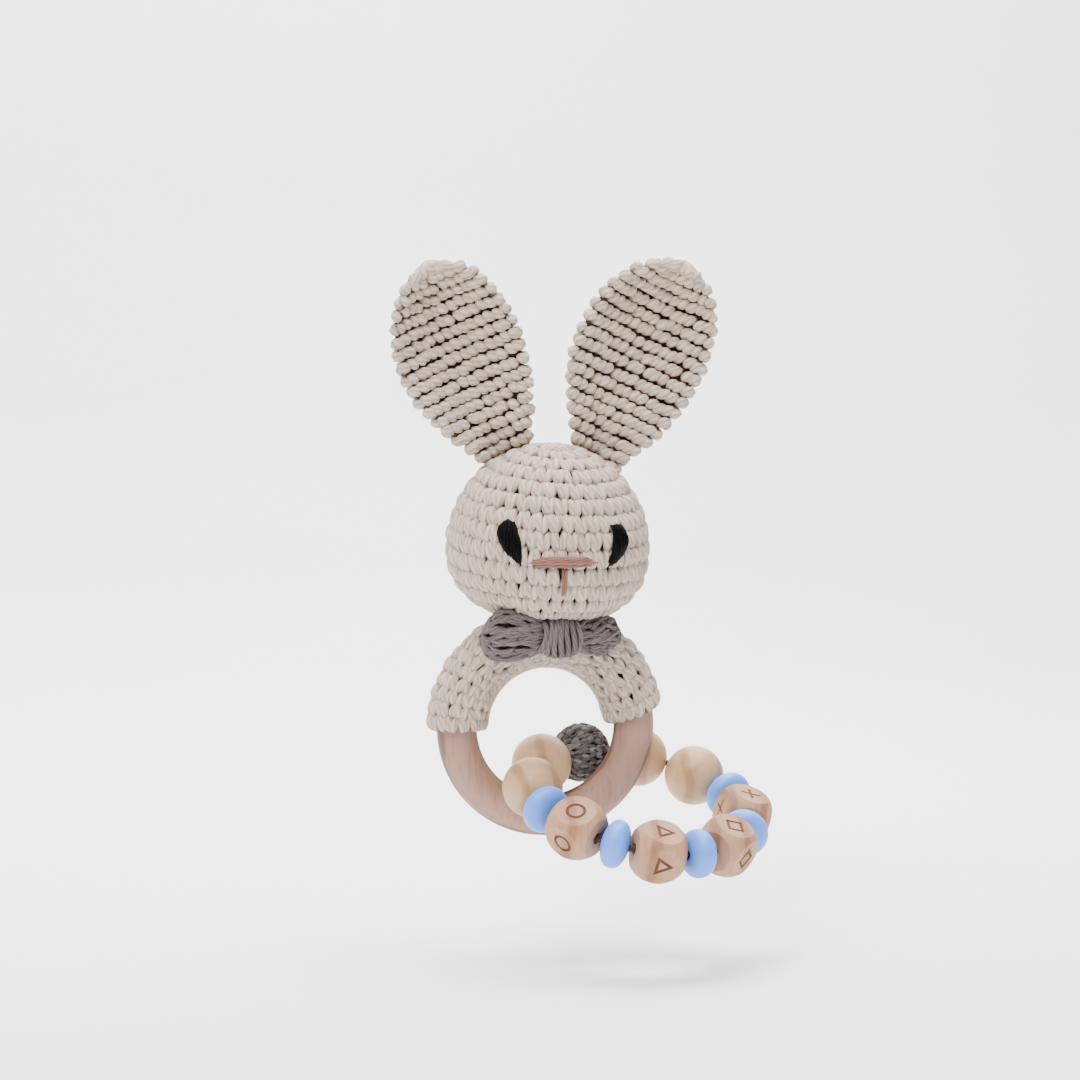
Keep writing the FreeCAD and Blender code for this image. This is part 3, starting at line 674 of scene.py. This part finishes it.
def pad_surface(start, direction, stations):
    """Padded lobe with elliptic sections; stations are (reach, half height, half thickness)."""
    direction = unit(np.array(direction, float))
    up = np.array([0, -math.sin(math.radians(BOW_LEAN)), math.cos(math.radians(BOW_LEAN))])
    depth = unit(np.cross(direction, up))
    reach, high, thick = (np.array(c) for c in zip(*stations))

    def place(u, v):
        t = v * reach[-1]
        a = 2 * math.pi * u
        return (np.array(start) + t[..., None] * direction
                + (np.interp(t, reach, high) * np.cos(a))[..., None] * up
                + (np.interp(t, reach, thick) * np.sin(a))[..., None] * depth)

    return Surface(place).facing(np.array(start) + 0.5 * reach[-1] * direction)


def add_bow(materials):
    for name in ("bow_left_loop", "bow_right_loop"):
        surface = pad_surface(*BOW[name])
        yarn = Yarn()
        under_layer(surface, yarn, depth=0.9, rows=24, columns=40)
        crochet(surface, yarn, pitch=2.6, row=3.4, stitch=V_LEGS, size=0.55, jitter=0.2, twist=1.2)
        crochet(surface, yarn, pitch=3.0, row=5.0, stitch=LONG_LEGS, size=0.62, jitter=0.24, steps=11,
                twist=1.2)
        piece = yarn.piece(name + "_crochet", materials["grey_crochet"], "bunny", "grey_crochet")
        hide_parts(name)
    knot = pad_surface(*BOW["bow_knot"])
    yarn = Yarn()
    under_layer(knot, yarn, depth=0.9, rows=16, columns=40)
    wraps, steps = 7, 48
    u = np.linspace(0, 1, steps)
    for k in range(wraps):
        v = 0.06 + 0.88 * k / (wraps - 1) + 0.05 * np.sin(2 * math.pi * (u * 2 + 0.13 * k))
        points, normals = knot.at(u, v, np.full_like(u, -0.25 + 0.3 * RNG.random()))
        yarn.strands(points[None], normals[None], np.full(steps, 0.72), np.full(steps, 0.9), twist=1.2)
    piece = yarn.piece("bow_knot_crochet", materials["grey_crochet"], "bunny", "grey_crochet")
    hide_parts("bow_knot")


# --- ring and beads -------------------------------------------------------------------------------
def grid_mesh(name, grid, material, body):
    """A mesh from a grid of points that closes on itself both ways."""
    rows, columns, _ = grid.shape
    index = np.arange(rows * columns).reshape(rows, columns)
    down = np.roll(index, -1, 0)
    quads = np.stack([index, np.roll(index, -1, 1), np.roll(down, -1, 1), down], axis=-1)
    return to_mesh(name, grid.reshape(-1, 3), quads.reshape(-1, 4).tolist(), material, body)


def add_ring(materials):
    turns, sides = 192, 56
    turn = 2 * math.pi * np.arange(turns) / turns
    section = 2 * math.pi * np.arange(sides) / sides
    a, b = np.meshgrid(turn, section, indexing="ij")
    out = RING_RADIUS + RING_TUBE * np.cos(b)
    grid = np.stack([out * np.cos(a), RING_TUBE * np.sin(b), out * np.sin(a)], axis=-1)
    ring = grid_mesh("ring_turned", grid, materials["ring_beech"], "ring")
    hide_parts("teething_ring")


def bead_frames():
    """Centre and axes of every bead: along the cord, out of the loop, and the third."""
    spins = [j for j in frame["joints"] if j["name"].endswith("_spin")]
    centres = np.array([j["pos_m"] for j in spins]) / MM
    middle = centres.mean(axis=0)
    normal = unit(sum(np.cross(centres[i] - middle, centres[(i + 1) % len(spins)] - middle)
                      for i in range(len(spins))))
    frames = {}
    for joint, centre in zip(spins, centres):
        axis = unit(np.array(joint["axis"], float))
        outward = unit(np.cross(axis, normal))
        frames[joint["name"][:-5]] = (centre, outward, np.cross(axis, outward), axis)
    return frames


def placed(points, seat, roll=0.0):
    centre, out, third, axis = seat
    c, s = math.cos(math.radians(roll)), math.sin(math.radians(roll))
    x, y = c * out + s * third, -s * out + c * third
    return centre + points[..., :1] * x + points[..., 1:2] * y + points[..., 2:] * axis


def lathe(profile, seat, name, material, body):
    """A closed outline (radius, height) turned round the bead's axis."""
    turns = 96
    a = 2 * math.pi * np.arange(turns) / turns
    r, z = np.array(profile).T
    grid = np.stack(np.broadcast_arrays(r[:, None] * np.cos(a), r[:, None] * np.sin(a), z[:, None]), axis=-1)
    return grid_mesh(name, placed(grid, seat), material, body)


def ball_outline(radius, bore):
    """A round bead with softened bore edges."""
    edge = math.asin((bore + 0.35) / radius)
    arc = [(radius * math.sin(t), radius * math.cos(t)) for t in np.linspace(edge, math.pi - edge, 48)]
    top = arc[0][1]
    inner = [(bore, -top + 0.30), (bore, -top / 2), (bore, 0), (bore, top / 2), (bore, top - 0.30)]
    return arc + [(bore + 0.1, -top + 0.05)] + inner + [(bore + 0.1, top - 0.05)]


def lentil_outline(radius, half, bore):
    """A lentil, a little fuller than an ellipse."""
    edge = math.asin(bore / radius)
    power = 0.86
    arc = [(radius * math.sin(t), half * math.copysign(abs(math.cos(t)) ** power, math.cos(t)))
           for t in np.linspace(edge, math.pi - edge, 44)]
    top = arc[0][1]
    return arc + [(bore - 0.1, -top + 0.2), (bore - 0.1, 0), (bore - 0.1, top - 0.2)]


def motif_outlines(kind):
    """Outer and inner outline of a motif's burnt line, in the plane of the face; a cross has no inner."""
    if kind == "cross":
        far, near = CROSS_REACH, CUBE_LINE / 2
        return np.array([(far, near), (near, near), (near, far), (-near, far), (-near, near), (-far, near),
                         (-far, -near), (-near, -near), (-near, -far), (near, -far), (near, -near),
                         (far, -near)]), None

    sides, radius, turn = {"ring": (48, 2.5, 0), "triangle": (3, 3.1, 90), "diamond": (4, 3.0, 0)}[kind]

    def ring_of(radius):
        a = math.radians(turn) + 2 * math.pi * np.arange(sides) / sides
        return np.stack([radius * np.cos(a), radius * np.sin(a)], axis=-1)

    return ring_of(radius), ring_of(radius - CUBE_LINE / math.cos(math.pi / sides))


def prism(outer, inner, low, high):
    """A closed band between two outlines (or a full plate if inner is None)."""
    n = len(outer)
    layers = [(outer, low), (outer, high)] + ([(inner, high), (inner, low)] if inner is not None else [])
    points = np.concatenate([np.column_stack([line, np.full(n, z)]) for line, z in layers])
    if inner is None:
        faces = [list(range(n))[::-1], list(range(n, 2 * n))]
        faces += [[i, (i + 1) % n, n + (i + 1) % n, n + i] for i in range(n)]
        return points, faces
    faces = []
    for layer in range(4):
        after = (layer + 1) % 4
        faces += [[layer * n + i, layer * n + (i + 1) % n, after * n + (i + 1) % n, after * n + i]
                  for i in range(n)]
    return points, faces


def add_motifs(name, seat, material):
    """Burnt lines on the floor of the engraved grooves, on the four faces round the bore."""
    floor = CUBE_HALF - CUBE_GROOVE
    flat, flat_faces = prism(*motif_outlines(BLOCK_MOTIF[name]), floor - BURN_SINK, floor + BURN_RISE)
    points, faces = [], []
    for k in range(4):
        a = math.radians(90 * k)
        out, side = np.array([math.cos(a), math.sin(a), 0]), np.array([-math.sin(a), math.cos(a), 0])
        points.append(flat[:, :1] * side + flat[:, 1:2] * np.array([0, 0, 1]) + flat[:, 2:] * out)
        faces += [[i + k * len(flat) for i in face] for face in flat_faces]
    to_mesh(name + "_motif", placed(np.concatenate(points), seat, BLOCK_ROLL[name]), faces, material,
            name, smooth=False)


def add_crochet_bead(seat, materials):
    def place(u, v):
        polar = math.pi * (0.07 + 0.86 * v)
        a = 2 * math.pi * u
        r = BEAD_RADIUS - 0.5
        local = np.stack(np.broadcast_arrays(r * np.sin(polar) * np.cos(a), r * np.sin(polar) * np.sin(a),
                                             r * np.cos(polar)), axis=-1)
        return placed(local, seat)

    surface = Surface(place).facing(seat[0])
    yarn = Yarn()
    under_layer(surface, yarn, depth=0.6, rows=24, columns=48)
    crochet(surface, yarn, pitch=1.75, row=1.85, stitch=V_LEGS, size=0.43, jitter=0.13, twist=1.6)
    piece = yarn.piece("crochet_bead_yarn", materials["grey_marl"], "crochet_bead", "grey_crochet")
    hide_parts("crochet_bead_cover")


def add_beads(materials):
    for name, seat in bead_frames().items():
        if name.startswith("round"):
            piece = lathe(ball_outline(BEAD_RADIUS, BEAD_BORE), seat, name + "_turned",
                          materials["pale_wood"], name)
            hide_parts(name)
        elif name.startswith("silicone"):
            piece = lathe(lentil_outline(DISC_RADIUS, DISC_HALF, DISC_BORE), seat, name + "_moulded",
                          materials["blue_silicone"], name)
            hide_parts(name)
        elif name.startswith("block"):
            add_motifs(name, seat, materials["burnt"])
        else:
            add_crochet_bead(seat, materials)


def paint_cad(materials):
    """The CAD pieces that stay take their slot's material."""
    slots = {row["node"]: row["material_slot"] for row in frame["record"]["subparts"]}
    for name, node in frame["nodes"].items():
        node.data.materials.clear()
        node.data.materials.append(materials[slots[name]])


def add_floor(materials):
    """A floor that curves up behind the toy."""
    low = min(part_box(n)[0][2] for n in frame["nodes"])
    depth = (-0.9, 0.5, 0.62, 0.70, 0.74, 0.75, 0.75)
    height = np.array([0, 0, 0.012, 0.05, 0.12, 0.22, 1.6]) + low - FLOOR_DROP * MM
    flat = np.array([(x, y, z) for y, z in zip(depth, height) for x in (-1.6, 1.6)])
    mesh = bpy.data.meshes.new("floor")
    faces = [[2 * i, 2 * i + 1, 2 * i + 3, 2 * i + 2] for i in range(len(depth) - 1)]
    mesh.from_pydata(flat.tolist(), [], faces)
    mesh.polygons.foreach_set("use_smooth", [True] * len(mesh.polygons))
    mesh.materials.append(soft_material("floor_paper", (0.94, 0.94, 0.94), 0.9, 0.01, 4.0))
    floor = bpy.data.objects.new("floor", mesh)
    bpy.context.collection.objects.link(floor)


add_camera()
add_lights()
MATERIALS = make_materials()
paint_cad(MATERIALS)
add_floor(MATERIALS)
add_ring(MATERIALS)
add_beads(MATERIALS)
add_head(MATERIALS)
add_face(MATERIALS)
add_ears(MATERIALS)
add_sleeve(MATERIALS)
add_bow(MATERIALS)
